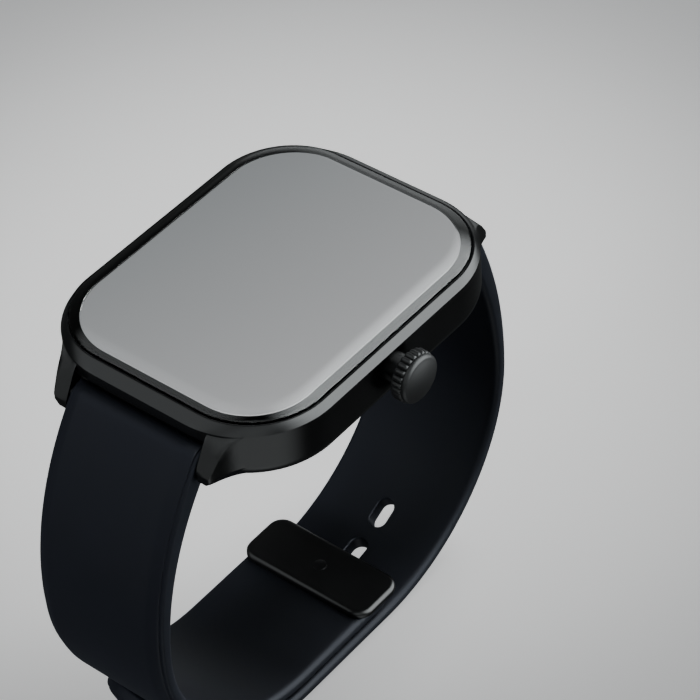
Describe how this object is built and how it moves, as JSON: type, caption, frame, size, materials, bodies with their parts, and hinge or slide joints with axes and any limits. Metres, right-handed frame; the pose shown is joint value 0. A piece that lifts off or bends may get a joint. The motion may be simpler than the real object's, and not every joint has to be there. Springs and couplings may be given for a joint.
{
  "type": "smartwatch",
  "caption": "Square smartwatch with rounded cover glass, knurled side crown and a soft strap closed into a loop by a peg through a row of holes.",
  "frame": {"origin": "centre of the flat sensor window on the back of the case", "axes": "+Z out through the display, +X out through the crown, +Y through the end of the case that carries the long strap"},
  "size_m": [0.042, 0.0691, 0.0612],
  "materials": {
    "case_black": "satin black, hard-coated",
    "crown_black": "satin black with glossy knurl",
    "cover_glass": "clear, polished",
    "sensor_glass": "dark tinted, polished",
    "display_grey": "smooth, blank light grey",
    "black_plastic": "fine matte",
    "seal_rubber": "matte",
    "strap_rubber": "matte blue-black silicone",
    "board_green": "solder-masked board",
    "flex_amber": "amber film",
    "can_steel": "dull tinned",
    "pin_steel": "fine turned",
    "battery_foil": "satin foil",
    "contact_gold": "gold-plated",
    "magnet_nickel": "nickel-plated",
    "lamp_resin": "clear resin",
    "clasp_black": "satin black"
  },
  "bodies": {
    "case": {"case_frame": "case_black", "cover_glass": "cover_glass", "glass_gasket": "black_plastic", "display_panel": "display_grey", "display_bracket": "can_steel", "display_flex": "flex_amber", "main_board": "board_green", "shield_cans": "can_steel", "antenna": "flex_amber", "battery": "battery_foil", "battery_tray": "black_plastic", "vibration_motor": "can_steel", "back_cover": "black_plastic", "back_gasket": "seal_rubber", "back_screws": "pin_steel", "sensor_window": "sensor_glass", "sensor_board": "board_green", "sensor_lamps": "lamp_resin", "charging_contacts": "contact_gold", "charging_magnets": "magnet_nickel", "crown_tube": "case_black", "crown_switch": "pin_steel", "crown_bracket": "pin_steel"},
    "crown_plunger": {"crown_push_pad": "black_plastic"},
    "crown": {"crown_ring": "crown_black", "crown_face": "crown_black", "crown_shaft": "pin_steel", "crown_seals": "seal_rubber", "crown_clip": "pin_steel"},
    "far_band": {"far_strap": "strap_rubber", "far_bar_tube": "pin_steel", "far_bar_tip": "pin_steel", "far_release_spring": "pin_steel"},
    "far_release": {"far_release_pin": "pin_steel"},
    "near_band": {"near_strap": "strap_rubber", "clasp_plate": "clasp_black", "clasp_peg": "clasp_black", "near_bar_tube": "pin_steel", "near_bar_tip": "pin_steel", "near_release_spring": "pin_steel"},
    "near_release": {"near_release_pin": "pin_steel"}
  },
  "joints": [
    {"name": "crown_press", "type": "slide", "parent": "case", "child": "crown_plunger", "axis": [-1, 0, 0], "range_m": [0, 0.0005], "stiffness_N_per_m": 300, "springref_m": -0.001},
    {"name": "crown_turn", "type": "hinge", "parent": "crown_plunger", "child": "crown", "pos_m": [0.02, 0, 0.005], "axis": [1, 0, 0], "continuous": true},
    {"name": "far_strap_swing", "type": "hinge", "parent": "case", "child": "far_band", "pos_m": [0, 0.0249, 0.0044], "axis": [1, 0, 0], "range_deg": [0, 38]},
    {"name": "near_strap_swing", "type": "hinge", "parent": "case", "child": "near_band", "pos_m": [0, -0.0249, 0.0044], "axis": [1, 0, 0], "range_deg": [0, 38]},
    {"name": "far_bar_release", "type": "slide", "parent": "far_band", "child": "far_release", "axis": [-1, 0, 0], "range_m": [0, 0.0014], "stiffness_N_per_m": 100, "springref_m": -0.002, "deforming": ["far_release_spring"]},
    {"name": "near_bar_release", "type": "slide", "parent": "near_band", "child": "near_release", "axis": [-1, 0, 0], "range_m": [0, 0.0014], "stiffness_N_per_m": 100, "springref_m": -0.002, "deforming": ["near_release_spring"]}
  ],
  "couplings": [
    {"joint": "near_strap_swing", "follows": "far_strap_swing", "ratio": 1}
  ]
}
